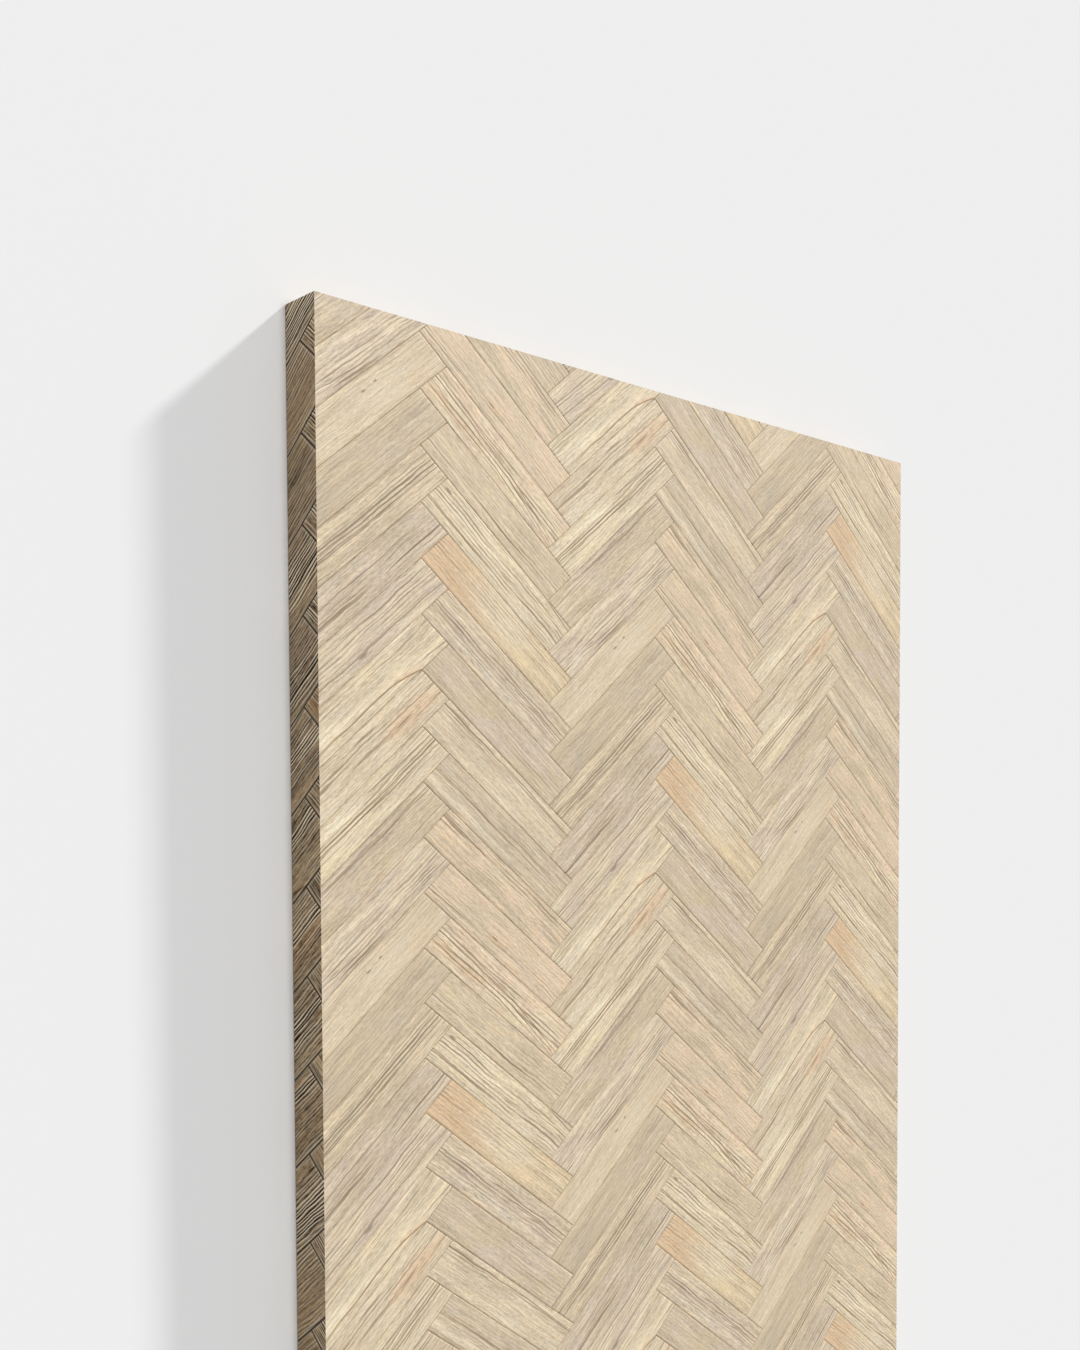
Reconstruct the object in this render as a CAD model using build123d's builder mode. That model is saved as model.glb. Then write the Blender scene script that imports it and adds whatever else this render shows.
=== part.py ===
from build123d import *
import math
import os

os.makedirs("parts", exist_ok=True)

# One laminate floor plank: a single pressed board with plain, square edges.
# Its upper face is embossed with a herringbone of narrow staves.
# X runs across the width, Y along the length and Z up through the thickness.
# The origin is the centre of the flat back.

# Board, in millimetres
plank_length = 1380.0
plank_width = 244.0
plank_thickness = 12.0

# Herringbone, in millimetres: columns of staves that fall to the right stand beside
# columns of staves that rise to the right, and the two meet in zigzag lines
column_width = 42.25         # across, from one zigzag line to the next
stave_pitch = 13.48          # down the length, from one stave to the next
staves_across_reach = 5      # how many stave widths make one stave length
first_peak_from_left = 29.75
first_corner_from_end = 2.16

# Pressed joint between two staves: a V-groove
joint_depth = 0.35
joint_width = 0.80

# The staves' corners all lie on one grid. A stave is one step wide and five steps long.
step_across = column_width / staves_across_reach
step_along = stave_pitch / 2
step_length = math.hypot(step_across, step_along)
meeting_angle = 2 * math.atan2(step_along, step_across)

# Half a joint's width, as a share of one grid step
lip = joint_width / 2 / (step_length * math.sin(meeting_angle))

groove_bottom = plank_thickness - joint_depth


def stave_faces(x, y, fall):
    # The flat top of one stave and the four slopes down into the joints round it.
    # x, y is its left corner. It falls to the right with fall = 1 and rises with fall = -1.
    def point(along, across, height):
        return Vector(
            x + (along + across) * step_across,
            y + (across - along) * fall * step_along,
            height,
        )

    reach = staves_across_reach
    top = [
        point(lip, lip, plank_thickness),
        point(reach - lip, lip, plank_thickness),
        point(reach - lip, 1 - lip, plank_thickness),
        point(lip, 1 - lip, plank_thickness),
    ]
    # Each long side has one more corner, where the neighbour's end meets it
    foot = [
        point(0, 0, groove_bottom),
        point(1, 0, groove_bottom),
        point(reach, 0, groove_bottom),
        point(reach, 1, groove_bottom),
        point(reach - 1, 1, groove_bottom),
        point(0, 1, groove_bottom),
    ]
    outlines = [
        top,
        [foot[0], foot[1], foot[2], top[1], top[0]],
        [foot[2], foot[3], top[2], top[1]],
        [foot[3], foot[4], foot[5], top[3], top[2]],
        [foot[5], foot[0], top[0], top[3]],
    ]
    return [Face(Wire.make_polygon(outline)) for outline in outlines]


# The pattern is laid out from its first zigzag line and first corner, past all four edges
pair_width = 2 * column_width
first_peak_x = first_peak_from_left - plank_width / 2
first_corner_y = plank_length / 2 - first_corner_from_end
pairs_before = math.ceil((first_peak_from_left + step_across) / pair_width)
pairs_after = math.ceil((plank_width - first_peak_from_left) / pair_width)
rows_above = math.ceil((staves_across_reach * step_along + first_corner_from_end) / stave_pitch) + 1
rows_below = math.ceil(plank_length / stave_pitch) + rows_above

pressed_faces = []
for pair in range(-pairs_before, pairs_after):
    for row in range(-rows_above, rows_below):
        left = first_peak_x + pair * pair_width
        corner = first_corner_y - row * stave_pitch
        pressed_faces += stave_faces(left, corner, 1)
        pressed_faces += stave_faces(left + column_width, corner - step_along, -1)
pressed_face = Shell(pressed_faces)

with BuildPart() as plank:
    # The board, cut square on all four edges and thicker than it ends up
    with BuildSketch(Plane.XY):
        Rectangle(plank_width, plank_length)
    extrude(amount=2 * plank_thickness)

    # The embossed face parts the board from the material above it
    split(bisect_by=pressed_face, keep=Keep.BOTTOM)

plank.part.label = "plank"
export_step(plank.part, "parts/plank.step")
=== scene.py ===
import math

import bmesh
import bpy
import numpy as np
from mathutils import Matrix, Vector


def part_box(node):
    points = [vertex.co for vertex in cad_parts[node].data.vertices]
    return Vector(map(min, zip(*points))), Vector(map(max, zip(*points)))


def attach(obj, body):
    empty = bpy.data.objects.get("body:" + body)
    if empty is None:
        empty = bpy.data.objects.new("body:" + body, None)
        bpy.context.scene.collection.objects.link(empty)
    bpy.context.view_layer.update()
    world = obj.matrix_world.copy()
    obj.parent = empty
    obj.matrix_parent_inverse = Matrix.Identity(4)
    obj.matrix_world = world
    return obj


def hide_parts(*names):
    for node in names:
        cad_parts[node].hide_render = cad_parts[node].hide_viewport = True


# %% [markdown]
# A laminate floor plank is a pressed fibreboard under a printed decor sheet. A press plate stamps
# the sheet while it is hot, so that the joints and the grain can be felt as well as seen.
# Here the print is a herringbone parquet of small pale staves. It could be painted on a flat box,
# but the joints catch light of their own, so the face is built from staves with rounded lips,
# and only the print and the finest relief are left to the materials.

# %% The frame
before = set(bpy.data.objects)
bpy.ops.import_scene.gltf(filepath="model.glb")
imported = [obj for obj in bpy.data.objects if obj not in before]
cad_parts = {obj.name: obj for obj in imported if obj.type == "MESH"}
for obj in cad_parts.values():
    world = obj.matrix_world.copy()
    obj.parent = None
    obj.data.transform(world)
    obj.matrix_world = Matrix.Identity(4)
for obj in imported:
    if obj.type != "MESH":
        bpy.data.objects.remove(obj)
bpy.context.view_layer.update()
low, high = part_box("plank")
PLANK_WIDTH, PLANK_LENGTH, PLANK_THICKNESS = (high - low)
print("plank, in metres:", [round(side, 4) for side in (high - low)])

# %% [markdown]
# Every corner of every stave lies on one grid. A step across and a step along take a stave from
# one corner to the next: it is one step wide and five steps long, and it lies on the diagonal.
# The grid starts where the first zigzag line meets the plank's head, near its left edge.

# %% The grid of the herringbone
MM = 0.001
REACH = 5                       # stave widths in a stave's length
STEP_ACROSS = 42.25 * MM / REACH
STEP_ALONG = 13.48 * MM / 2
GRID_LEFT = 29.75 * MM          # from the left edge to the first zigzag line
GRID_TOP = 2.16 * MM            # from the head to the first corner
JOINT_DEPTH = 0.35 * MM
JOINT_WIDTH = 0.80 * MM

grid_x = low.x + GRID_LEFT
grid_y = high.y - GRID_TOP
joint_bottom = high.z - JOINT_DEPTH
stave_step = math.hypot(STEP_ACROSS, STEP_ALONG)
meeting_angle = 2 * math.atan2(STEP_ALONG, STEP_ACROSS)
stave_width = stave_step * math.sin(meeting_angle)
print("a stave is", round(REACH * stave_step / MM, 1), "by", round(stave_width / MM, 1), "mm")

# %% [markdown]
# One stave is a low pad. Its lip is a quarter round that drops into the joint, as a press plate
# leaves it. A grid of points along and across the stave is dense at the lips and open between
# them, so a plain stave costs few faces.

# %% One stave as a grid of points
LIP_SHARES = np.array([0.0, 0.12, 0.38, 1.0])      # of the lip's width, from the joint inwards


def lip_height(share):
    """Height over the joint's bottom: the square root of one less the square of what is left
    of the way in, which is a quarter of an ellipse standing on the joint and level at its top."""
    left = 1.0 - np.clip(share, 0.0, 1.0)
    return JOINT_DEPTH * np.sqrt(1.0 - left ** 2)


def stave_points(corner_x, corner_y, fall):
    """Points of one stave, from its left corner: a steps along and b steps across it give
    x = corner + (a + b) steps across, y = corner + (b - a) steps along, times the fall, and the
    height is the lip's, by the distance to the nearest of the four joints."""
    lip = JOINT_WIDTH / 2 / stave_width
    near = LIP_SHARES * lip
    a = np.concatenate([near, REACH - near[::-1]])
    b = np.concatenate([near, 1.0 - near[::-1]])
    along, across = np.meshgrid(a, b, indexing="ij")
    inside = np.minimum(np.minimum(along, REACH - along), np.minimum(across, 1.0 - across))
    x = corner_x + (along + across) * STEP_ACROSS
    y = corner_y + (across - along) * fall * STEP_ALONG
    z = joint_bottom + lip_height(inside / lip)
    return np.stack([x, y, z], axis=-1)


def pad_faces(rows, columns):
    """Quads between neighbouring grid points, and the one face under the whole pad."""
    at = np.arange(rows * columns).reshape(rows, columns)
    quads = np.stack([at[:-1, :-1], at[1:, :-1], at[1:, 1:], at[:-1, 1:]], -1).reshape(-1, 4)
    under = np.concatenate([at[0, :], at[1:, -1], at[-1, -2::-1], at[-2:0:-1, 0]])
    return quads, under


sample = stave_points(0.0, 0.0, 1)
print("points in one stave:", sample.shape[0] * sample.shape[1])

# %% [markdown]
# The face is pressed column by column: between two zigzag lines all staves lie the same way.
# Each column becomes one mesh, with its staves sawn off where the plank's edges cross them.
# Cutting the finished pads with four planes keeps them closed, which trimming the outline
# first would not do so simply.

# %% The columns of staves
ON_THE_PLANE = 1e-7             # how near, in metres, a point counts as lying on the saw's plane


def column_mesh(name, left, first_corner_y, fall):
    """All staves of one column: the points of the top one, repeated a pitch of two steps
    further down each time. A rising stave is a mirrored one, so its faces are turned over."""
    pitch = 2 * STEP_ALONG
    spare = math.ceil(REACH / 2) + 1
    count = math.ceil(PLANK_LENGTH / pitch) + 2 * spare
    top = stave_points(left, first_corner_y + spare * pitch, fall)
    drop = np.arange(count)[:, None, None, None] * np.array([0.0, pitch, 0.0])
    quads, under = pad_faces(*top.shape[:2])
    start = np.arange(count) * top.shape[0] * top.shape[1]
    quads = (quads + start[:, None, None]).reshape(-1, 4)
    under = under + start[:, None]
    if fall < 0:
        quads, under = quads[:, ::-1], under[:, ::-1]
    mesh = bpy.data.meshes.new(name)
    mesh.from_pydata((top - drop).reshape(-1, 3), [], quads.tolist() + under.tolist())
    return mesh


def saw_to_plank(mesh):
    """Cuts a mesh with the planes of the plank's four edges and closes each cut with faces
    that look outwards."""
    bm = bmesh.new()
    bm.from_mesh(mesh)
    planes = [
        ((low.x, 0, 0), (-1, 0, 0)), ((high.x, 0, 0), (1, 0, 0)),
        ((0, low.y, 0), (0, -1, 0)), ((0, high.y, 0), (0, 1, 0)),
    ]
    for point, outward in planes:
        everything = bm.verts[:] + bm.edges[:] + bm.faces[:]
        bmesh.ops.bisect_plane(
            bm, geom=everything, plane_co=point, plane_no=outward, clear_outer=True,
            dist=ON_THE_PLANE)
        open_edges = [edge for edge in bm.edges if edge.is_boundary]
        cuts = bmesh.ops.holes_fill(bm, edges=open_edges, sides=0)["faces"]
        for cut in cuts:
            cut.normal_update()
            if cut.normal.dot(Vector(outward)) < 0:
                cut.normal_flip()
    bm.to_mesh(mesh)
    left_over = len(bm.faces)
    bm.free()
    return left_over


def add_piece(mesh):
    """Puts a finished mesh into the scene as a piece of the plank."""
    piece = bpy.data.objects.new(mesh.name, mesh)
    bpy.context.scene.collection.objects.link(piece)
    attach(piece, "root")
    return piece


columns, column_places = [], []
pair_width = 2 * REACH * STEP_ACROSS
first_pair = -math.ceil((GRID_LEFT + STEP_ACROSS) / pair_width)
last_pair = math.ceil((PLANK_WIDTH - GRID_LEFT) / pair_width)
for pair in range(first_pair, last_pair):
    for fall, shift, drop in ((1, 0.0, 0.0), (-1, pair_width / 2, STEP_ALONG)):
        left = grid_x + pair * pair_width + shift
        reach_right = left + (REACH + 1) * STEP_ACROSS
        if reach_right <= low.x or left >= high.x:
            continue
        mesh = column_mesh(f"stave_column_{len(columns) + 1}", left, grid_y - drop, fall)
        face_count = saw_to_plank(mesh)
        print(mesh.name, "faces:", face_count)
        columns.append(add_piece(mesh))
        column_places.append((left, grid_y - drop, fall))

# %% [markdown]
# Under the staves lies the board itself. It is one outline, the board's cross-section with the
# two lower arrises taken off, carried from the foot to the head and closed at both ends. Its
# top lies at the joints' bottom, so it shows only there.

# %% The board
ARRIS = 0.3 * MM


def board_section():
    """Cross-section from below, anticlockwise seen from the foot: a rectangle up to the joint's
    bottom, with its two lower corners cut at 45 degrees."""
    x, z = high.x, joint_bottom
    return np.array([
        (-x + ARRIS, 0.0), (x - ARRIS, 0.0), (x, ARRIS), (x, z), (-x, z), (-x, ARRIS),
    ])


def board_mesh(stations=12):
    """The section repeated at even stations along Y, joined by quads, with a cap at each end."""
    section = board_section()
    y = np.linspace(low.y, high.y, stations)
    points = np.zeros((stations, len(section), 3))
    points[:, :, 0] = section[:, 0]
    points[:, :, 1] = y[:, None]
    points[:, :, 2] = section[:, 1]
    at = np.arange(stations * len(section)).reshape(stations, -1)
    around = np.roll(at, -1, axis=1)
    sides = np.stack([at[:-1], around[:-1], around[1:], at[1:]], -1).reshape(-1, 4)
    faces = sides.tolist() + [at[0, ::-1].tolist(), at[-1].tolist()]
    mesh = bpy.data.meshes.new("board")
    mesh.from_pydata(points.reshape(-1, 3), [], faces)
    bm = bmesh.new()
    bm.from_mesh(mesh)
    bmesh.ops.recalc_face_normals(bm, faces=bm.faces)
    bm.to_mesh(mesh)
    bm.free()
    return mesh


board = add_piece(board_mesh())
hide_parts("plank")
print("board faces:", len(board.data.polygons))

# %% [markdown]
# Other programs get the colours of a piece as one square picture that is folded round it. An
# unfolding made by itself would spend half of that square on faces that nobody sees. The staves
# are laid out one by one instead, each with its lips in a cell of its own, as the grid of points
# suggests. What lies under a stave and what the saw left at its ends goes into thin strips.

# %% The staves' unfolding
CELLS_ACROSS, CELLS_UP = 5, 22
TOPS_END = 0.93                 # the share of the square, from below, that the cells fill

# from where to where something lies, first as shares of a cell, then as shares of the square
STAVE_ALONG, STAVE_ACROSS = (0.01, 0.98), (0.04, 0.96)
UNDER_ACROSS, UNDER_ALONG = (0.10, 0.90), (0.94, 0.96)
FOOT_CUT, HEAD_CUT, END_CUT_RISE = (0.01, 0.41), (0.51, 0.91), (0.970, 0.980)
SIDE_CUT, SIDE_CUT_RISE = (0.01, 0.99), (0.985, 0.995)

# a face belongs to a side if this much of its normal points there
LOOKS_DOWN = 0.5
LOOKS_SIDEWAYS = 0.99


def between(share, ends):
    """A share from 0 to 1, counted from the first end to the second."""
    return ends[0] + (ends[1] - ends[0]) * share


def corners(mesh):
    """For every corner of every face: its vertex, its face, and its vertex's x, y and z."""
    vertex = np.zeros(len(mesh.loops), np.int32)
    mesh.loops.foreach_get("vertex_index", vertex)
    sizes = np.zeros(len(mesh.polygons), np.int32)
    mesh.polygons.foreach_get("loop_total", sizes)
    points = np.zeros(len(mesh.vertices) * 3)
    mesh.vertices.foreach_get("co", points)
    return vertex, np.repeat(np.arange(len(sizes)), sizes), points.reshape(-1, 3)[vertex].T


def face_vectors(mesh, name):
    """The centres or the normals of all faces."""
    vectors = np.zeros(len(mesh.polygons) * 3, np.float32)
    mesh.polygons.foreach_get(name, vectors)
    return vectors.reshape(-1, 3)


def write_unfolding(mesh, u, v):
    """Keeps the places as the piece's own map."""
    unfolding = mesh.uv_layers.new(name="OFBake")
    unfolding.data.foreach_set("uv", np.stack([u, v], -1).astype(np.float32).ravel())
    return [round(float(end), 3) for end in (u.min(), u.max(), v.min(), v.max())]


def unfold_column(mesh, left, first_corner_y, fall):
    """Stave n starts n pitches below the first corner. With p = (x - left) / step across and
    q = fall * ((y - first corner) / step along + 2 n), a corner at x, y lies a = (p - q) / 2
    along its stave and b = (p + q) / 2 across it. The middle of a face tells its n, because
    there b is between 0 and 1."""
    def on_stave(x, y, n):
        p = (x - left) / STEP_ACROSS
        q = fall * ((y - first_corner_y) / STEP_ALONG + 2 * n)
        return (p - q) / 2, (p + q) / 2

    middle, normal = face_vectors(mesh, "center"), face_vectors(mesh, "normal")
    n = -fall * np.floor(on_stave(middle[:, 0], middle[:, 1], 0)[1])

    _, face, (x, y, z) = corners(mesh)
    a, b = on_stave(x, y, n[face])
    a, b = a / REACH, np.clip(b, 0.0, 1.0)
    cell = (n - n.min())[face]
    rise = (z - joint_bottom) / JOINT_DEPTH
    u = (cell % CELLS_ACROSS + between(a, STAVE_ALONG)) / CELLS_ACROSS
    v = TOPS_END * (cell // CELLS_ACROSS + between(b, STAVE_ACROSS)) / CELLS_UP

    under = normal[face, 2] < -LOOKS_DOWN
    u = np.where(under, (cell + between(b, UNDER_ACROSS)) / (CELLS_ACROSS * CELLS_UP), u)
    v = np.where(under, between(a, UNDER_ALONG), v)
    end_cut = np.abs(normal[face, 1]) > LOOKS_SIDEWAYS
    over = (x - left) / ((REACH + 1) * STEP_ACROSS)
    over = np.where(y > 0, between(over, HEAD_CUT), between(over, FOOT_CUT))
    u = np.where(end_cut, over, u)
    v = np.where(end_cut, between(rise, END_CUT_RISE), v)
    side_cut = np.abs(normal[face, 0]) > LOOKS_SIDEWAYS
    u = np.where(side_cut, between((y - low.y) / PLANK_LENGTH, SIDE_CUT), u)
    v = np.where(side_cut, between(rise, SIDE_CUT_RISE), v)
    return int(cell.max()) + 1, write_unfolding(mesh, u, v)


for column, (left, first_corner_y, fall) in zip(columns, column_places):
    staves, ends = unfold_column(column.data, left, first_corner_y, fall)
    print(column.name, "has", staves, "staves, unfolded to", ends)

# %% [markdown]
# The board is unfolded the same way. Its edges carry the fine pattern, so each long edge is cut
# into strips, two to a row, at a larger scale than the plain back.

# %% The board's unfolding
STRIP_WIDTH, STRIP_HEIGHT = 0.490, 0.047       # shares of the square
ROW_PITCH = 0.052
MARGIN = 0.005

# the faces round the section, in its own order, and where the plain ones lie in the square
BACK_SIDE, RIGHT_ARRIS, RIGHT_EDGE, TOP_SIDE, LEFT_EDGE, LEFT_ARRIS = range(6)
PLAIN_ROWS = {
    BACK_SIDE: (0.690, 0.860), TOP_SIDE: (0.875, 0.935),
    RIGHT_ARRIS: (0.945, 0.957), LEFT_ARRIS: (0.970, 0.982),
}


def unfold_board(mesh):
    """A corner is point q of the section at station s. On face k round the section, in segment
    i, it lies s - i along the face and q - k up it. The caps are placed by their own x and z."""
    vertex, face, (x, _, z) = corners(mesh)
    section = len(board_section())
    segments = (len(mesh.polygons) - 2) // section
    segment, side = face // section, face % section
    along = vertex // section - segment
    up = (vertex % section - side) % section

    u = MARGIN + (segment + along) * (1 - 2 * MARGIN) / segments
    v = np.zeros(len(side))
    for plain, row in PLAIN_ROWS.items():
        v = np.where(side == plain, between(up, row), v)

    strip = 2 * segment + (side == LEFT_EDGE)
    long_edge = (side == RIGHT_EDGE) | (side == LEFT_EDGE)
    u = np.where(long_edge, MARGIN + strip % 2 * 0.5 + along * STRIP_WIDTH, u)
    v = np.where(long_edge, MARGIN + strip // 2 * ROW_PITCH + up * STRIP_HEIGHT, v)

    cap = face - segments * section
    cap_u = MARGIN + (x - low.x) / PLANK_WIDTH * 2 * STRIP_WIDTH
    cap_v = MARGIN + (segments + cap) * ROW_PITCH + z / PLANK_THICKNESS * STRIP_HEIGHT
    return write_unfolding(mesh, np.where(cap >= 0, cap_u, u), np.where(cap >= 0, cap_v, v))


print("board unfolded to", unfold_board(board.data))

# %% [markdown]
# The materials are nodes. Small helpers keep the node code short: one makes a shader node group
# with named sockets, one uses such a group, and one does a step of arithmetic.

# %% Groups and arithmetic
NUMBER, COLOUR = "NodeSocketFloat", "NodeSocketColor"


def shader_group(name, inputs, outputs, colours=()):
    """An empty shader node group, the sockets that bring its inputs and the node that takes its
    outputs. Each input is given with the number it holds at first, or None for a colour, and
    the outputs that are colours are named again."""
    group = bpy.data.node_groups.new(name, "ShaderNodeTree")
    for socket, value in inputs.items():
        kind = COLOUR if value is None else NUMBER
        made = group.interface.new_socket(socket, in_out="INPUT", socket_type=kind)
        if value is not None:
            made.default_value = value
    for socket in outputs:
        kind = COLOUR if socket in colours else NUMBER
        group.interface.new_socket(socket, in_out="OUTPUT", socket_type=kind)
    start = group.nodes.new("NodeGroupInput")
    end = group.nodes.new("NodeGroupOutput")
    return group, start.outputs, end


def hand_out(tree, end, **values):
    """Links a group's results to its outputs by name."""
    for name, value in values.items():
        tree.links.new(value, end.inputs[name.replace("_", " ")])


def plug(tree, value, socket):
    """Links a socket, or writes a plain value into it."""
    if isinstance(value, bpy.types.NodeSocket):
        tree.links.new(value, socket)
    else:
        socket.default_value = value


def calc(tree, operation, *values, clamp=False):
    """One Math node."""
    node = tree.nodes.new("ShaderNodeMath")
    node.operation = operation
    node.use_clamp = clamp
    for value, socket in zip(values, node.inputs):
        plug(tree, value, socket)
    return node.outputs[0]


def times(tree, first, second):
    return calc(tree, "MULTIPLY", first, second)


def plus(tree, first, second):
    return calc(tree, "ADD", first, second)


def minus(tree, first, second):
    return calc(tree, "SUBTRACT", first, second)


def group_node(tree, group, **values):
    """One use of a group, with its inputs set or linked by name."""
    node = tree.nodes.new("ShaderNodeGroup")
    node.node_tree = group
    for name, value in values.items():
        plug(tree, value, node.inputs[name.replace("_", " ")])
    return node


print("sockets are of two kinds:", NUMBER, "and", COLOUR)

# %% [markdown]
# A print is colours mixed by masks, and nearly every mask starts as noise. These helpers make
# a node or two each and hand back the result. The last one turns a screen colour into numbers
# that a shader reckons with.

# %% Mixing and noise
def blend(tree, share, first, second, mode="MIX"):
    """One Mix node for colours."""
    node = tree.nodes.new("ShaderNodeMix")
    node.data_type = "RGBA"
    node.blend_type = mode
    plug(tree, share, node.inputs["Factor"])
    plug(tree, first, node.inputs["A"])
    plug(tree, second, node.inputs["B"])
    return node.outputs["Result"]


def soft_step(tree, value, start, end):
    """A smooth ramp: 0 before start, 1 past end."""
    node = tree.nodes.new("ShaderNodeMapRange")
    node.interpolation_type = "SMOOTHSTEP"
    for amount, socket in zip((value, start, end), node.inputs):
        plug(tree, amount, socket)
    return node.outputs[0]


def noise(tree, x, y, z, detail=2.0, roughness=0.5):
    """A noise between 0 and 1 at a place given by three numbers."""
    place = tree.nodes.new("ShaderNodeCombineXYZ")
    for value, socket in zip((x, y, z), place.inputs):
        plug(tree, value, socket)
    node = tree.nodes.new("ShaderNodeTexNoise")
    node.inputs["Scale"].default_value = 1.0
    node.inputs["Detail"].default_value = detail
    node.inputs["Roughness"].default_value = roughness
    tree.links.new(place.outputs[0], node.inputs["Vector"])
    return node.outputs["Fac"]


def srgb(red, green, blue):
    """A screen colour, 0 to 255, made linear: c / 12.92 for the darkest shares c, and
    ((c + 0.055) / 1.055) to the power of 2.4 for all others."""
    shares = np.array([red, green, blue]) / 255.0
    linear = np.where(shares <= 0.04045, shares / 12.92, ((shares + 0.055) / 1.055) ** 2.4)
    return (*map(float, linear), 1.0)


print("a screen's middle grey is", round(srgb(128, 128, 128)[0], 3), "to a shader")

# %% [markdown]
# The herringbone group answers one question for any spot on a surface: which stave is this, and
# where on the stave is it? Turned by half a right angle, the grid's corners become whole
# numbers, and every ten cells on a diagonal the pattern starts again: five cells of a stave
# that falls to the right, then five of one that rises. The print has twenty different staves,
# ten of each. They repeat down a column, and each pair of columns starts four staves later.

# %% The herringbone group
PAIR_CELLS = 2 * REACH
KINDS = 10                      # different staves in each of the two directions
PAIR_SHIFT = 4                  # staves by which the next pair of columns starts later
RISING_SHIFT = 3                # staves by which the rising ones start later in their pair


def herringbone_group():
    """first = (across + down) / 2 and second = (across - down) / 2, so one of them grows along a
    stave and the other across it. Their whole parts add up to the diagonal. What is left of it
    after whole pairs is the cell, 0 to 4 on a falling stave and 5 to 9 on a rising one."""
    tree, get, end = shader_group(
        "herringbone", {"Grid Across": 0.0, "Grid Down": 0.0},
        ["Along", "Across", "Kind", "To Joint"])
    across, down = get["Grid Across"], get["Grid Down"]
    first = times(tree, plus(tree, across, down), 0.5)
    second = times(tree, minus(tree, across, down), 0.5)
    first_cell, second_cell = calc(tree, "FLOOR", first), calc(tree, "FLOOR", second)
    first_part = minus(tree, first, first_cell)
    second_part = minus(tree, second, second_cell)

    # half a cell keeps these whole numbers clear of rounding errors
    diagonal = plus(tree, first_cell, second_cell)
    pair = calc(tree, "FLOOR", calc(tree, "DIVIDE", plus(tree, diagonal, 0.5), PAIR_CELLS))
    cell = minus(tree, diagonal, times(tree, pair, PAIR_CELLS))
    rising = calc(tree, "GREATER_THAN", cell, REACH - 0.5)

    def either(if_falling, if_rising):
        """A Mix node for numbers, whose two values are its third and fourth sockets."""
        node = tree.nodes.new("ShaderNodeMix")
        plug(tree, rising, node.inputs["Factor"])
        plug(tree, if_falling, node.inputs[2])
        plug(tree, if_rising, node.inputs[3])
        return node.outputs[0]

    rising_cell = minus(tree, cell, REACH)
    along = either(plus(tree, cell, first_part), plus(tree, rising_cell, second_part))
    over = either(second_part, minus(tree, 1.0, first_part))

    # the next pair lies REACH cells further on both diagonals, so these products leave the shift
    falling_start = times(tree, pair, REACH - PAIR_SHIFT)
    falling_row = minus(tree, falling_start, second_cell)
    falling_kind = calc(tree, "FLOORED_MODULO", falling_row, KINDS)
    rising_start = calc(tree, "MULTIPLY_ADD", pair, REACH + PAIR_SHIFT, RISING_SHIFT)
    rising_row = minus(tree, first_cell, rising_start)
    rising_kind = plus(tree, calc(tree, "FLOORED_MODULO", rising_row, KINDS), KINDS)
    to_side = calc(tree, "MINIMUM", over, minus(tree, 1.0, over))
    to_end = calc(tree, "MINIMUM", along, minus(tree, REACH, along))

    kind = either(falling_kind, rising_kind)
    to_joint = calc(tree, "MINIMUM", to_side, to_end)
    hand_out(tree, end, Along=along, Across=over, Kind=kind, To_Joint=to_joint)
    return tree


herringbone = herringbone_group()
print("herringbone group nodes:", len(herringbone.nodes))

# %% [markdown]
# The grain group draws what any flat-sawn softwood shows: broad bands, fine fibres and, in one
# zone of the stave, the thin dark lines of the late wood. All of it is noise that is drawn out
# along the stave, and each kind of stave reads another slice of the noise. The late wood lines
# are a wave across the stave whose phase the noise bends, so they swerve together as real ones
# do. Beside each dark line runs a light one, a painted highlight as if light caught its rim.

# %% The grain group
SLICE_PITCH = 7.31              # how far apart two kinds' slices of noise lie
RIPPLE = 0.06                   # in stave widths, how far the small ripples move a fibre
LINE_SHARPNESS = 3.2            # the power that thins a wave to a dark line
# The light line beside each dark one is a painted highlight: how thin it is, and how far it lies.
HIGHLIGHT_SHARPNESS = 3.0
HIGHLIGHT_OFFSET = 0.36             # in pitches, from a light line across to the next dark one
BAND_BEND, STREAK_BEND = 2.2, 0.5              # in pitches, what noise adds to the wave's phase
GAPS = 0.32, 0.58               # noise below the first leaves no line, above the second a full one


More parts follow.
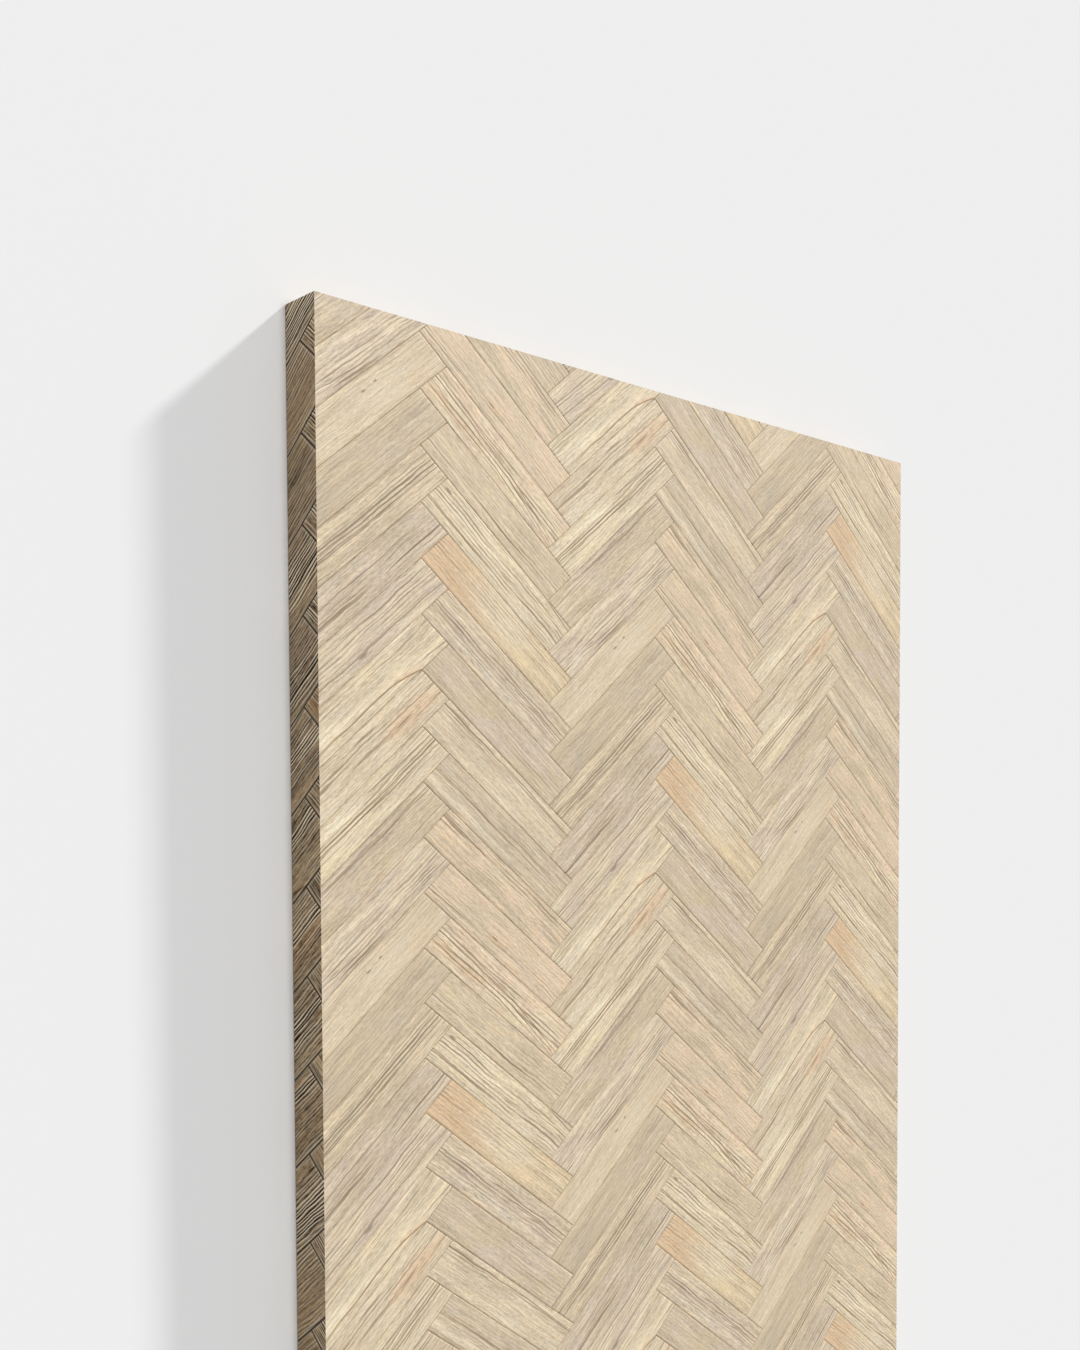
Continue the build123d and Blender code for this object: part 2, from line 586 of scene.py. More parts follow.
def grain_group():
    """Noise is read at (along times a, across times b, slice), and the larger b is beside a, the
    more it is drawn out. A late wood line is (1 + cosine) / 2 of the bent wave, to a power. It
    is multiplied by an amount: a bell curve over the zone, a little elsewhere, and gaps."""
    tree, get, end = shader_group(
        "stave_grain",
        {"Along": 0.0, "Across": 0.0, "Kind": 0.0, "Lines At": 0.5, "Lines Spread": 0.2,
         "Lines There": 0.5, "Lines Elsewhere": 0.28, "Line Pitch": 0.1, "Swerve": 0.12},
        ["Bands", "Streaks", "Fibres", "Lines", "Light Lines", "Flecks", "Clouds", "Warmth",
         "Swerved"])
    along, across = get["Along"], get["Across"]
    slice_at = times(tree, get["Kind"], SLICE_PITCH)

    def drawn(along_scale, over, over_scale, shift=0.0, detail=2.0, roughness=0.5):
        """Noise that is drawn out along the stave, from the kind's own slice plus a shift."""
        return noise(
            tree, times(tree, along, along_scale), times(tree, over, over_scale),
            plus(tree, slice_at, shift), detail, roughness)

    bend = minus(tree, drawn(0.7, across, 0.9, detail=1.0), 0.5)
    ripple = minus(tree, drawn(1.7, across, 3.4), 0.5)
    swerve = times(tree, bend, get["Swerve"])
    swerved = plus(tree, across, calc(tree, "MULTIPLY_ADD", ripple, RIPPLE, swerve))

    bands = drawn(0.35, swerved, 5.0, detail=3.0, roughness=0.6)
    streaks = drawn(0.5, swerved, 13.0, shift=5.1, detail=3.0, roughness=0.6)
    fibres = drawn(1.2, swerved, 30.0, detail=4.0, roughness=0.7)
    flecks = drawn(7.0, across, 42.0, roughness=0.7)
    clouds = drawn(0.8, across, 1.6, shift=3.7)
    warmth = drawn(1.3, swerved, 6.0, shift=2.3, roughness=0.6)

    turns = calc(tree, "DIVIDE", swerved, get["Line Pitch"])
    uneven = calc(tree, "MULTIPLY_ADD", bands, BAND_BEND, turns)
    uneven = calc(tree, "MULTIPLY_ADD", streaks, STREAK_BEND, uneven)
    wave = calc(tree, "COSINE", times(tree, uneven, 2 * math.pi))
    crest = calc(tree, "POWER", calc(tree, "MULTIPLY_ADD", wave, 0.5, 0.5), LINE_SHARPNESS)
    off = calc(tree, "DIVIDE", minus(tree, swerved, get["Lines At"]), get["Lines Spread"])
    zone = calc(tree, "EXPONENT", times(tree, times(tree, off, off), -1.0))
    stretch = soft_step(tree, drawn(0.7, across, 9.0, shift=1.9), *GAPS)
    amount = calc(tree, "MULTIPLY_ADD", zone, get["Lines There"], get["Lines Elsewhere"])
    amount = times(tree, amount, stretch)
    lines = times(tree, crest, amount)
    # A painted highlight: the same wave a little further on, so a pale line runs beside each dark
    # one.
    later = times(tree, plus(tree, uneven, HIGHLIGHT_OFFSET), 2 * math.pi)
    highlight_wave = calc(tree, "MULTIPLY_ADD", calc(tree, "COSINE", later), 0.5, 0.5)
    highlight_lines = times(tree, calc(tree, "POWER", highlight_wave, HIGHLIGHT_SHARPNESS), amount)

    hand_out(
        tree, end, Bands=bands, Streaks=streaks, Fibres=fibres, Lines=lines,
        Light_Lines=highlight_lines, Flecks=flecks, Clouds=clouds, Warmth=warmth, Swerved=swerved)
    return tree


stave_grain = grain_group()
print("grain group nodes:", len(stave_grain.nodes))

# %% [markdown]
# Knots, long dark lines and rosy or bleached spots sit at one place on one kind of stave. A mark
# is an ellipse whose middle line may lean and then curve away, so one group draws a small round
# knot as well as a long bent line. Its six numbers arrive as two colours, because a colour ramp
# can then hold the marks of all the kinds, and one group draws a whole layer of them.

# %% The mark group
SMALLEST = 0.001                # keeps a mark of no size from dividing by nought
SPOT_CORE = 0.35                # the share of a mark's radius that is quite dark
NO_LEAN = 0.5                   # stands for nought, as a colour can't hold a negative number


def mark_group():
    """ahead is how far along the spot lies past the mark's place, and the middle line is the
    place across + lean * ahead + bend * ahead squared, the last only past the place. With
    a = ahead / half length and b = (across - middle) / half width, the mark is full near
    the root of a squared + b squared = 0 and gone at 1."""
    tree, get, end = shader_group(
        "stave_mark", {"Along": 0.0, "Across": 0.0, "Place": None, "Shape": None}, ["Mark"])
    place = tree.nodes.new("ShaderNodeSeparateColor")
    shape = tree.nodes.new("ShaderNodeSeparateColor")
    tree.links.new(get["Place"], place.inputs[0])
    tree.links.new(get["Shape"], shape.inputs[0])
    at_along = times(tree, place.outputs[0], REACH)
    half_length = calc(tree, "MAXIMUM", times(tree, place.outputs[2], REACH), SMALLEST)
    half_width = calc(tree, "MAXIMUM", shape.outputs[0], SMALLEST)
    lean = minus(tree, shape.outputs[1], NO_LEAN)
    bend = minus(tree, shape.outputs[2], NO_LEAN)

    ahead = minus(tree, get["Along"], at_along)
    past = calc(tree, "MAXIMUM", ahead, 0.0)
    middle = calc(tree, "MULTIPLY_ADD", ahead, lean, place.outputs[1])
    middle = calc(tree, "MULTIPLY_ADD", times(tree, past, past), bend, middle)
    a = calc(tree, "DIVIDE", ahead, half_length)
    b = calc(tree, "DIVIDE", minus(tree, get["Across"], middle), half_width)
    length = calc(tree, "SQRT", calc(tree, "MULTIPLY_ADD", a, a, times(tree, b, b)))
    spot = minus(tree, 1.0, soft_step(tree, length, SPOT_CORE, 1.0))
    hand_out(tree, end, Mark=spot)
    return tree


stave_mark = mark_group()
print("mark group nodes:", len(stave_mark.nodes))

# %% [markdown]
# Now the print itself. Eight tones make up the whole face, all of them washed out and close to
# one another, and each kind of stave has a main tone, a second tone that clouds it, and a zone
# of late wood lines. They were chosen one by one. Kinds 0 to 9 fall to the right, 10 to 19 rise.

# %% Tones and kinds of stave
CREAM = srgb(225, 208, 175)
PALE = srgb(218, 201, 172)
SAND = srgb(212, 193, 164)
OLIVE = srgb(205, 187, 157)
MAUVE = srgb(208, 190, 167)
ASH = srgb(200, 183, 157)
ROSY = srgb(222, 198, 169)
HONEY = srgb(216, 195, 160)

# main tone, second tone, and the late wood lines: where across the stave, how wide, how strong
STAVE_KINDS = [
    (SAND, ROSY, 0.18, 0.20, 0.5),      # rosy knot near the middle
    (ROSY, CREAM, 0.52, 0.26, 1.0),     # striped all along
    (SAND, OLIVE, 0.26, 0.12, 0.6),
    (CREAM, PALE, 0.50, 0.40, 0.9),     # dark knot near one end
    (HONEY, HONEY, 0.70, 0.25, 0.5),    # peach at one end
    (SAND, MAUVE, 0.56, 0.20, 0.9),
    (MAUVE, OLIVE, 0.40, 0.20, 0.3),
    (PALE, SAND, 0.80, 0.10, 0.7),
    (ASH, SAND, 0.50, 0.22, 0.6),
    (OLIVE, ROSY, 0.74, 0.20, 0.7),
    (MAUVE, PALE, 0.60, 0.24, 0.7),     # dark knot on a line
    (CREAM, PALE, 0.80, 0.15, 0.7),     # long dark line that curves away
    (PALE, SAND, 0.60, 0.18, 0.8),
    (CREAM, PALE, 0.50, 0.20, 1.0),     # a few sharp lines
    (OLIVE, MAUVE, 0.80, 0.12, 0.7),
    (MAUVE, PALE, 0.35, 0.25, 0.8),     # dark streak at one edge
    (PALE, SAND, 0.90, 0.15, 0.2),      # specks
    (OLIVE, ASH, 0.12, 0.14, 0.1),      # the plainest
    (OLIVE, SAND, 0.50, 0.24, 1.0),     # striped all along
    (ASH, MAUVE, 0.30, 0.18, 0.9),
]

# kind: (along, across, half length, half width, lean, bend), one mark for each kind in a layer.
# A mark that doesn't bend leaves out its last number, and a straight one the last two.
DARK_LAYERS = [
    {
        0: (2.35, 0.37, 0.16, 0.030),
        1: (2.40, 0.50, 5.00, 0.024, -0.03, -0.03),
        2: (3.00, 0.27, 2.40, 0.028),
        3: (0.24, 0.80, 0.17, 0.065),
        5: (1.20, 0.57, 2.20, 0.022, -0.01),
        7: (1.30, 0.84, 3.20, 0.024),
        8: (1.80, 0.50, 2.60, 0.024),
        9: (0.70, 0.80, 1.60, 0.024, -0.05),
        10: (2.15, 0.22, 0.22, 0.055),
        11: (2.60, 0.22, 3.60, 0.034, 0.0, -0.117),
        12: (2.80, 0.80, 0.60, 0.035),
        13: (2.50, 0.455, 5.00, 0.026, -0.03),
        14: (3.10, 0.82, 2.60, 0.028),
        15: (1.90, 0.07, 1.20, 0.045, -0.03),
        16: (2.72, 0.67, 0.10, 0.035),
        18: (2.50, 0.50, 5.00, 0.024, -0.02),
        19: (1.00, 0.30, 2.20, 0.040),
    },
    {
        1: (2.40, 0.38, 5.00, 0.022, -0.02, -0.03),
        3: (1.00, 0.76, 1.50, 0.024, -0.04),
        5: (1.30, 0.49, 2.40, 0.018, -0.01),
        7: (4.50, 0.80, 1.70, 0.028),
        8: (3.60, 0.62, 1.60, 0.020, 0.01),
        10: (2.60, 0.25, 4.60, 0.024, -0.012),
        11: (4.70, 0.13, 0.90, 0.022, -0.06),
        12: (2.60, 0.42, 1.00, 0.030),
        13: (2.40, 0.55, 5.00, 0.024, -0.02),
        15: (1.50, 0.20, 1.30, 0.020, -0.06),
        16: (3.15, 0.70, 0.07, 0.030),
        18: (2.50, 0.60, 5.00, 0.022, -0.01),
        19: (4.00, 0.28, 1.40, 0.030),
    },
    {
        1: (2.00, 0.27, 4.00, 0.022, -0.01, -0.02),
        3: (4.60, 0.92, 1.00, 0.030, -0.08),
        5: (4.00, 0.66, 1.70, 0.020),
        9: (4.20, 0.86, 1.30, 0.022),
        10: (3.60, 0.78, 1.70, 0.030),
        12: (3.75, 0.40, 0.40, 0.030),
        13: (4.10, 0.72, 1.90, 0.026, -0.06),
        14: (4.20, 0.22, 1.20, 0.020, 0.02),
        18: (2.60, 0.40, 4.60, 0.020, -0.02),
        19: (2.40, 0.62, 2.60, 0.022),
    },
    {
        0: (1.00, 0.20, 1.60, 0.020, 0.03),
        1: (1.40, 0.62, 3.20, 0.020, -0.03),
        3: (1.10, 0.24, 1.70, 0.038),
        5: (4.10, 0.54, 1.80, 0.018, 0.01),
        13: (0.60, 0.64, 1.20, 0.020, -0.02),
    },
]
ROSY_LAYER = {
    0: (2.30, 0.36, 0.60, 0.09),
    1: (0.90, 0.30, 1.60, 0.22),
    4: (0.30, 0.40, 2.80, 1.00),
    11: (3.60, 0.12, 0.70, 0.09, -0.20),
    12: (4.00, 0.40, 1.40, 0.30),
}
BLEACHED_LAYER = {
    1: (1.60, 0.44, 3.00, 0.05, -0.02, -0.03),
    3: (1.40, 0.60, 1.60, 0.16),
    4: (2.30, 0.60, 1.70, 0.55),
    5: (2.50, 0.22, 2.60, 0.12),
    8: (1.50, 0.22, 2.40, 0.16),
    11: (0.80, 0.50, 1.60, 0.30),
    12: (0.60, 0.20, 1.40, 0.22),
    13: (1.30, 0.78, 1.90, 0.20),
    15: (0.60, 0.25, 1.20, 0.15),
}
print("kinds of stave:", len(STAVE_KINDS), "and dark marks:", sum(map(len, DARK_LAYERS)))

# %% [markdown]
# A ramp with one stop for each kind hands out the tones. The line settings are three numbers
# for each kind, so they travel as the three channels of a second ramp.

# %% Looking a kind up
def lookup(tree, kind, colours):
    """A stepped colour ramp, read in the middle of the kind's own step."""
    node = tree.nodes.new("ShaderNodeValToRGB")
    node.color_ramp.interpolation = "CONSTANT"
    stops = node.color_ramp.elements
    while len(stops) < len(colours):
        stops.new(0.5)
    for place, colour in enumerate(colours):
        stops[place].position = place / len(colours)
        stops[place].color = colour
    share = calc(tree, "DIVIDE", plus(tree, kind, 0.5), len(colours))
    tree.links.new(share, node.inputs["Fac"])
    return node.outputs["Color"]


def marks_mask(tree, kind, along, across, marks):
    """One layer of marks. A kind that has none there gets a mark of no size."""
    no_mark = (0.0, 0.0, 0.0, 0.0)
    rows = [(*marks.get(number, no_mark), 0.0, 0.0)[:6] for number in range(2 * KINDS)]
    places = [(row[0] / REACH, row[1], row[2] / REACH, 1.0) for row in rows]
    shapes = [(row[3], NO_LEAN + row[4], NO_LEAN + row[5], 1.0) for row in rows]
    node = group_node(
        tree, stave_mark, Along=along, Across=across, Place=lookup(tree, kind, places),
        Shape=lookup(tree, kind, shapes))
    return node.outputs[0]


print("each ramp has", 2 * KINDS, "steps; Blender allows 32")

# %% [markdown]
# The print group puts the stave together in the order a decor printer lays down ink: the ground
# tone, its clouds, bands and fibres, then the late wood lines and marks, and the joint last.
# It is the same for the face and for the edges. What differs there is how strong each ink is.

# %% The print group
LINE_BROWN = srgb(142, 119, 90)
MARK_BROWN = srgb(120, 98, 72)
MARK_ROSE = srgb(216, 172, 132)
# A pale ink for bleached marks, and also for painted highlights.
MARK_AND_HIGHLIGHT_WHITE = srgb(238, 226, 200)
TINT_COOL = (0.985, 1.0, 1.03, 1.0)
TINT_WARM = (1.02, 1.0, 0.965, 1.0)
JOINT_BROWN = srgb(140, 122, 96)

ROSE_STRENGTH = 0.40
BLEACH_STRENGTH = 0.35
SWINGS = {"Bands": 0.50, "Streaks": 0.42, "Fibres": 1.00, "Flecks": 1.00}     # in brightness
PLAIN_SWING = 0.90              # what a stave without late wood lines has of them
FIGURED_SWING = 0.45            # and what one with strong lines has on top
CLOUD_RIM = 0.38, 0.66          # the second tone starts and is full at these values of the noise
WARMTH_RIM = 0.3, 0.7
# The second number is where the painted highlight along a joint has faded out.
JOINT_CORE, JOINT_HIGHLIGHT_REACH = 0.25, 2.5              # in joint widths


def stave_ground(tree, kind, where, grain):
    """The stave's two tones, its rosy and bleached places, and a tint that wavers."""
    main = lookup(tree, kind, [stave[0] for stave in STAVE_KINDS])
    second = lookup(tree, kind, [stave[1] for stave in STAVE_KINDS])
    ground = blend(tree, soft_step(tree, grain["Clouds"], *CLOUD_RIM), main, second)
    rose = marks_mask(tree, *where, ROSY_LAYER)
    ground = blend(tree, times(tree, rose, ROSE_STRENGTH), ground, MARK_ROSE)
    bleach = marks_mask(tree, *where, BLEACHED_LAYER)
    ground = blend(tree, times(tree, bleach, BLEACH_STRENGTH), ground, MARK_AND_HIGHLIGHT_WHITE)
    tint = blend(tree, soft_step(tree, grain["Warmth"], *WARMTH_RIM), TINT_COOL, TINT_WARM)
    return blend(tree, 1.0, ground, tint, "MULTIPLY")


def grain_over(tree, ground, grain, figure, contrast):
    """The ground made brighter and darker by the grain, most on a stave with strong lines."""
    level = 0.0
    for ink, strength in SWINGS.items():
        swing = minus(tree, grain[ink], 0.5)
        level = calc(tree, "MULTIPLY_ADD", swing, strength, level)
    figured = calc(tree, "MULTIPLY_ADD", figure, FIGURED_SWING, PLAIN_SWING)
    level = times(tree, level, times(tree, figured, contrast))
    bright = tree.nodes.new("ShaderNodeVectorMath")
    bright.operation = "SCALE"
    tree.links.new(ground, bright.inputs[0])
    tree.links.new(plus(tree, level, 1.0), bright.inputs["Scale"])
    return bright.outputs[0]


def near_joint(tree, to_joint, start, end):
    """1 up to the start and 0 from the end on, both as distances from the joint."""
    return minus(tree, 1.0, soft_step(tree, to_joint, start, end))


def print_group():
    """The ground of the staves and one mask for each ink that may go over it. The relief is the
    fibres less the lines and the marks, because a press plate presses those in."""
    tree, get, end = shader_group(
        "stave_print",
        {"Grid Across": 0.0, "Grid Down": 0.0, "Joint Width": 0.05, "Line Strength": 1.0,
         "Line Pitch": 0.1, "Contrast": 1.0},
        ["Ground", "Lines", "Light Lines", "Joint", "Joint Rim", "Marks", "Relief", "Fibres"],
        colours=["Ground"])
    spot = group_node(
        tree, herringbone, Grid_Across=get["Grid Across"], Grid_Down=get["Grid Down"]).outputs
    kind = spot["Kind"]
    figure = tree.nodes.new("ShaderNodeSeparateColor")
    settings = lookup(tree, kind, [(*stave[2:], 1.0) for stave in STAVE_KINDS])
    tree.links.new(settings, figure.inputs[0])
    lines_at, lines_spread, lines_there = figure.outputs
    grain = group_node(
        tree, stave_grain, Along=spot["Along"], Across=spot["Across"], Kind=kind,
        Lines_At=lines_at, Lines_Spread=lines_spread, Lines_There=lines_there,
        Line_Pitch=get["Line Pitch"]).outputs
    where = kind, spot["Along"], grain["Swerved"]
    ground = stave_ground(tree, kind, where, grain)
    ground = grain_over(tree, ground, grain, lines_there, get["Contrast"])

    lines = calc(tree, "MULTIPLY", grain["Lines"], get["Line Strength"], clamp=True)
    # the painted highlights beside the lines
    light = calc(tree, "MULTIPLY", grain["Light Lines"], get["Line Strength"], clamp=True)
    width = get["Joint Width"]
    core = times(tree, width, JOINT_CORE)
    joint = near_joint(tree, spot["To Joint"], core, width)
    # a painted highlight along the joint, as if light caught the rim of its groove
    rim = near_joint(tree, spot["To Joint"], width, times(tree, width, JOINT_HIGHLIGHT_REACH))
    marks = 0.0
    for layer in DARK_LAYERS:
        marks = calc(tree, "MAXIMUM", marks_mask(tree, *where, layer), marks)
    relief = minus(tree, grain["Fibres"], plus(tree, lines, marks))

    hand_out(
        tree, end, Ground=ground, Lines=lines, Light_Lines=light, Joint=joint, Joint_Rim=rim,
        Marks=marks, Relief=relief, Fibres=grain["Fibres"])
    return tree


stave_print = print_group()
print("print group nodes:", len(stave_print.nodes))

# %% [markdown]
# The print has no picture file that would need unwrapping. A spot's place on the object, counted
# in steps from the herringbone's first corner, is all that the groups ask for, so the face and
# the edges each only say which axes run across and down, and how long a step is there.

# %% Grid coordinates on a surface
def object_axes(tree):
    """The three numbers x, y and z of a spot's place on its object."""
    place = tree.nodes.new("ShaderNodeTexCoord")
    axes = tree.nodes.new("ShaderNodeSeparateXYZ")
    tree.links.new(place.outputs["Object"], axes.inputs[0])
    return axes.outputs


def grid_place(tree, across_axis, down_axis, across_zero, down_zero, across_step, down_step):
    """Object coordinates turned into steps of a herringbone grid, across and down."""
    axes = object_axes(tree)
    across = minus(tree, axes[across_axis], across_zero)
    down = minus(tree, down_zero, axes[down_axis])
    return calc(tree, "DIVIDE", across, across_step), calc(tree, "DIVIDE", down, down_step)


def new_material(name, **settings):
    """A material with a Principled shader, whose even settings are given by name."""
    material = bpy.data.materials.new(name)
    material.use_nodes = True
    shader = material.node_tree.nodes["Principled BSDF"]
    for setting, value in settings.items():
        shader.inputs[setting.replace("_", " ")].default_value = value
    return material, material.node_tree, shader


def emboss(tree, shader, height, depth):
    """Fine relief: a Bump node that reads a height between 0 and 1."""
    bump = tree.nodes.new("ShaderNodeBump")
    bump.inputs["Distance"].default_value = depth
    plug(tree, height, bump.inputs["Height"])
    tree.links.new(bump.outputs[0], shader.inputs["Normal"])


def lay_inks(tree, colour, masks, inks):
    """Inks laid over a colour one after another, each by its own mask and strength."""
    for name, (strength, pigment) in inks.items():
        colour = blend(tree, times(tree, masks[name], strength), colour, pigment)
    return colour


print("steps of the face's grid, in mm:", round(STEP_ACROSS / MM, 2), round(STEP_ALONG / MM, 2))

# %% [markdown]
# The face: a matt, washed decor. Real planks have a hard clear film over the print, with a dull
# sheen that is a little deeper in the grain's hollows, so the roughness follows the fibres.

# %% The face decor
FACE_INKS = {
    # a painted highlight beside each dark line
    "Light Lines": (0.35, MARK_AND_HIGHLIGHT_WHITE),
    "Lines": (0.85, LINE_BROWN),
    "Marks": (0.70, MARK_BROWN),
    "Joint": (0.08, JOINT_BROWN),
}
FACE_JOINT = 0.05               # in grid steps
FACE_ROUGHNESS = 0.66           # between the fibres
FIBRE_SHEEN = 0.18              # how much smoother it is on them
FACE_RELIEF = 0.02 * MM


def face_decor():
    """The print over the whole face. Its roughness is the plain one less the fibres' sheen."""
    material, tree, shader = new_material("face_decor")
    across, down = grid_place(tree, "X", "Y", grid_x, grid_y, STEP_ACROSS, STEP_ALONG)
    masks = group_node(
        tree, stave_print, Grid_Across=across, Grid_Down=down, Joint_Width=FACE_JOINT).outputs
    colour = lay_inks(tree, masks["Ground"], masks, FACE_INKS)
    tree.links.new(colour, shader.inputs["Base Color"])
    rough = calc(tree, "MULTIPLY_ADD", masks["Fibres"], -FIBRE_SHEEN, FACE_ROUGHNESS)
    tree.links.new(rough, shader.inputs["Roughness"])
    emboss(tree, shader, masks["Relief"], FACE_RELIEF)
    return material


face_print = face_decor()
print("face decor nodes:", len(face_print.node_tree.nodes))

# %% [markdown]
# The edges carry the same herringbone in dark browns, half as large again, with its first
# zigzag line halfway up the board's thickness. The browns are partly the edges' own tone and
# partly painted shade. Its lines are darker than its ground and its painted highlights lighter,
# so a pale ink goes down before the black one. Two materials are needed, because the
# grids of the long edges and of the ends run along different axes.

# %% The edge decor
EDGE_STEP_UP = 13.0 * MM
EDGE_STEP_DOWN = 10.37 * MM
EDGE_FIRST_CORNER = 9.5 * MM
# Darkens the edges' ground: partly their own tone, partly painted shade.
EDGE_TONE_AND_SHADE = srgb(194, 182, 169)
EDGE_BLACK = srgb(44, 24, 4)
# The edges' pale ink is a painted highlight beside their lines and joints.
EDGE_HIGHLIGHT = srgb(255, 240, 212)
EDGE_INKS = {
    "Light Lines": (1.0, EDGE_HIGHLIGHT),
    "Joint Rim": (0.3, EDGE_HIGHLIGHT),
    "Lines": (1.0, EDGE_BLACK),
    "Marks": (0.5, EDGE_BLACK),
    "Joint": (0.9, EDGE_BLACK),
}
EDGE_JOINT = 0.026              # in grid steps
EDGE_RELIEF = 0.08 * MM


def edge_decor(name, down_axis, down_zero):
    """The same print turned onto an edge: the grid's across is counted up the edge from half
    the thickness, and its down along the axis given."""
    material, tree, shader = new_material(name, Roughness=0.8, Specular_IOR_Level=0.06)
    across, down = grid_place(
        tree, "Z", down_axis, PLANK_THICKNESS / 2, down_zero, EDGE_STEP_UP, EDGE_STEP_DOWN)
    masks = group_node(
        tree, stave_print, Grid_Across=across, Grid_Down=down, Joint_Width=EDGE_JOINT,
        Line_Strength=1.45, Line_Pitch=0.054, Contrast=2.6).outputs
    # The ground is darkened by the edges' own tone and by painted shade.
    ground = blend(tree, 1.0, masks["Ground"], EDGE_TONE_AND_SHADE, "MULTIPLY")
    colour = lay_inks(tree, ground, masks, EDGE_INKS)
    tree.links.new(colour, shader.inputs["Base Color"])
    emboss(tree, shader, masks["Relief"], EDGE_RELIEF)
    return material


long_edge_print = edge_decor("long_edge_decor", "Y", high.y - EDGE_FIRST_CORNER)
end_edge_print = edge_decor("end_edge_decor", "X", high.x - EDGE_FIRST_CORNER)
print("edge decor nodes:", len(long_edge_print.node_tree.nodes))

# %% [markdown]
# The back of a laminate plank is a plain sheet that balances the decor, a dull kraft brown with
# mottles and a short fuzz of fibres, both a little longer along the plank than across it.

# %% The back
KRAFT_DARK = srgb(176, 150, 116)
KRAFT_LIGHT = srgb(190, 166, 132)
MOTTLES_ACROSS, MOTTLES_ALONG = 160.0, 90.0    # to the metre
FUZZ_ACROSS, FUZZ_ALONG = 1400.0, 500.0
FUZZ_SHARE = 0.35
KRAFT_RIM = 0.35, 0.65
BACK_RELIEF = 0.04 * MM


def back_sheet():
    """Mottles and fuzz are mixed to one share, which fades the dark kraft into the light."""
    material, tree, shader = new_material("back_sheet", Roughness=0.7)
    x, y, _ = object_axes(tree)
    mottle = noise(
        tree, times(tree, x, MOTTLES_ACROSS), times(tree, y, MOTTLES_ALONG),
        0.0, detail=5.0, roughness=0.65)
    fuzz = noise(
        tree, times(tree, x, FUZZ_ACROSS), times(tree, y, FUZZ_ALONG), 4.0)
    share = calc(tree, "MULTIPLY_ADD", fuzz, FUZZ_SHARE, times(tree, mottle, 1 - FUZZ_SHARE))
    colour = blend(tree, soft_step(tree, share, *KRAFT_RIM), KRAFT_DARK, KRAFT_LIGHT)
    tree.links.new(colour, shader.inputs["Base Color"])
    emboss(tree, shader, fuzz, BACK_RELIEF)
    return material


kraft_back = back_sheet()
print("back sheet nodes:", len(kraft_back.node_tree.nodes))

# %% [markdown]
# Each face of the meshes takes the material of the side it looks towards: up is print, the two
# long edges and the two ends are edge decor, and down is the back.

# %% Dressing the pieces
FACE, LONG_EDGE, END_EDGE, BACK = range(4)
materials = [face_print, long_edge_print, end_edge_print, kraft_back]


def dress(piece):
    """Gives each polygon the index of its material, by where its normal points."""
    mesh = piece.data
    for material in materials:
        mesh.materials.append(material)
    normals = face_vectors(mesh, "normal")
    index = np.full(len(normals), FACE)
    index[normals[:, 2] < -LOOKS_DOWN] = BACK
    index[np.abs(normals[:, 0]) > LOOKS_SIDEWAYS] = LONG_EDGE
    index[np.abs(normals[:, 1]) > LOOKS_SIDEWAYS] = END_EDGE
    mesh.polygons.foreach_set("material_index", index.astype(np.int32))
    mesh.update()
    return np.bincount(index, minlength=len(materials))


for piece in [*columns, board]:
    print(piece.name, "faces by material:", dress(piece).tolist())

# %% [markdown]
# The set is one pale floor that takes the plank's shadow. Its grey is chosen so that it renders
# as the near-white ground of a studio shot, and it is so large that its far edge is out of sight
# or melts into the world behind it. It is quite matt, so no lamp mirrors in it.

# %% The floor
GROUND_GREY = srgb(239, 239, 239)
FLOOR_SIZE = 30.0


def floor_mesh():
    """A flat square whose corners lie half the floor's size from the middle."""
    half = FLOOR_SIZE / 2
    points = np.array([(-1, -1, 0), (1, -1, 0), (1, 1, 0), (-1, 1, 0)], float) * half
    mesh = bpy.data.meshes.new("studio_floor")
    mesh.from_pydata(points, [], [(0, 1, 2, 3)])
    matt, *_ = new_material(
        "studio_floor", Base_Color=GROUND_GREY, Roughness=0.9, Specular_IOR_Level=0.0)
    mesh.materials.append(matt)
    return mesh


floor = bpy.data.objects.new("studio_floor", floor_mesh())
bpy.context.scene.collection.objects.link(floor)
print("floor:", FLOOR_SIZE, "m square")

# %% [markdown]
# The plank's shadow lies to its left and towards its foot, three times as wide as the plank is
# thick, so the key stands low on the right, beyond the head. Nearly half of the light comes from
# straight above, where it leaves no shadow beside so flat a thing, and a third from all round.

# %% Light
FILL_STRENGTH = 0.30
KEY_ENERGY, KEY_WIDTH = 3.1, 4.4                # watts to the square metre, and degrees
OVERHEAD_ENERGY, OVERHEAD_WIDTH = 1.44, 20.0
SHADOW_LEFT, SHADOW_DOWN = 35 * MM, 33 * MM     # how far the face's edge throws its shadow


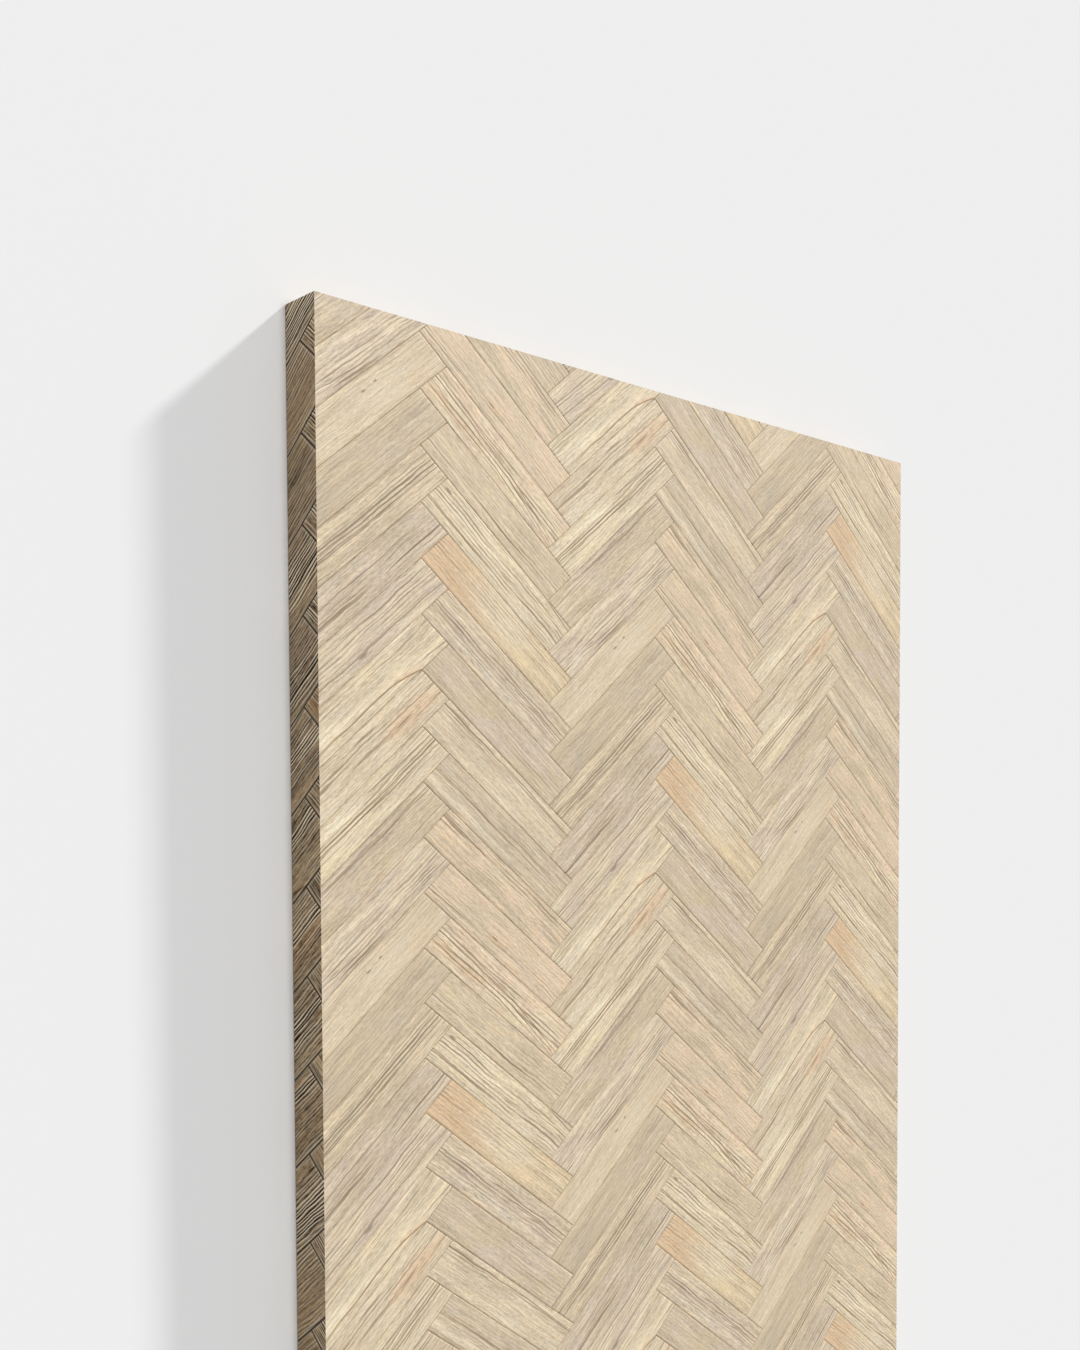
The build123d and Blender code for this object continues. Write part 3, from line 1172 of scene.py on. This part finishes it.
def studio_air():
    """A world that lights the plank as a weak even fill, but that the camera and all mirrors
    see in the floor's own grey, so the floor's far edge doesn't show."""
    world = bpy.data.worlds.new("studio_air")
    world.use_nodes = True
    tree = world.node_tree
    fill = tree.nodes["Background"]
    fill.inputs["Color"].default_value = (1.0, 1.0, 1.0, 1.0)
    fill.inputs["Strength"].default_value = FILL_STRENGTH
    seen = tree.nodes.new("ShaderNodeBackground")
    seen.inputs["Color"].default_value = GROUND_GREY
    ray = tree.nodes.new("ShaderNodeLightPath")
    looked_at = calc(tree, "MAXIMUM", ray.outputs["Is Camera Ray"], ray.outputs["Is Glossy Ray"])
    looked_at = calc(tree, "MAXIMUM", looked_at, ray.outputs["Is Transmission Ray"])
    mix = tree.nodes.new("ShaderNodeMixShader")
    tree.links.new(looked_at, mix.inputs[0])
    tree.links.new(fill.outputs[0], mix.inputs[1])
    tree.links.new(seen.outputs[0], mix.inputs[2])
    tree.links.new(mix.outputs[0], tree.nodes["World Output"].inputs["Surface"])
    return world


def sun(name, comes_from, energy, width_degrees):
    """A sun lamp: parallel light from one side, with a soft rim to its shadows."""
    lamp = bpy.data.lights.new(name, "SUN")
    lamp.energy = energy
    lamp.angle = math.radians(width_degrees)
    holder = bpy.data.objects.new(name, lamp)
    holder.rotation_euler = comes_from.to_track_quat("Z", "Y").to_euler()
    bpy.context.scene.collection.objects.link(holder)


bpy.context.scene.world = studio_air()
key_from = Vector((SHADOW_LEFT, SHADOW_DOWN, PLANK_THICKNESS)).normalized()
sun("low_key", key_from, KEY_ENERGY, KEY_WIDTH)
sun("overhead", Vector((0.0, 0.0, 1.0)), OVERHEAD_ENERGY, OVERHEAD_WIDTH)
print("the key stands", round(math.degrees(math.asin(key_from.z)), 1), "degrees above the floor")

# %% [markdown]
# The camera looks down on the head of the plank from its left side, turned so that the head is
# at the top of the picture. It stands close, which is why the plank narrows to the right.

# %% Camera
CAMERA_PLACE = Vector((-0.2900, 0.5823, 0.2623))
CAMERA_LOOK = Vector((0.6866, -0.0364, -0.7261))
CAMERA_UP = Vector((0.0286, 0.9993, -0.0230))
FOCAL_LENGTH = 34.97            # in millimetres
PICTURE_SHIFT = 0.107           # upwards, as a share of the picture's longer side
NEAREST_SEEN = 0.01

camera = bpy.data.cameras.new("camera")
camera.lens = FOCAL_LENGTH
camera.shift_y = PICTURE_SHIFT
camera.clip_start = NEAREST_SEEN
camera_object = bpy.data.objects.new("camera", camera)
back = -CAMERA_LOOK.normalized()
right = CAMERA_UP.cross(back).normalized()
up = back.cross(right)
turn = Matrix((right, up, back)).transposed()
camera_object.matrix_world = Matrix.Translation(CAMERA_PLACE) @ turn.to_4x4()
bpy.context.scene.collection.objects.link(camera_object)
bpy.context.scene.camera = camera_object
bpy.context.scene.view_settings.view_transform = "Standard"
print("camera stands", round(CAMERA_PLACE.z / MM), "mm above the floor")
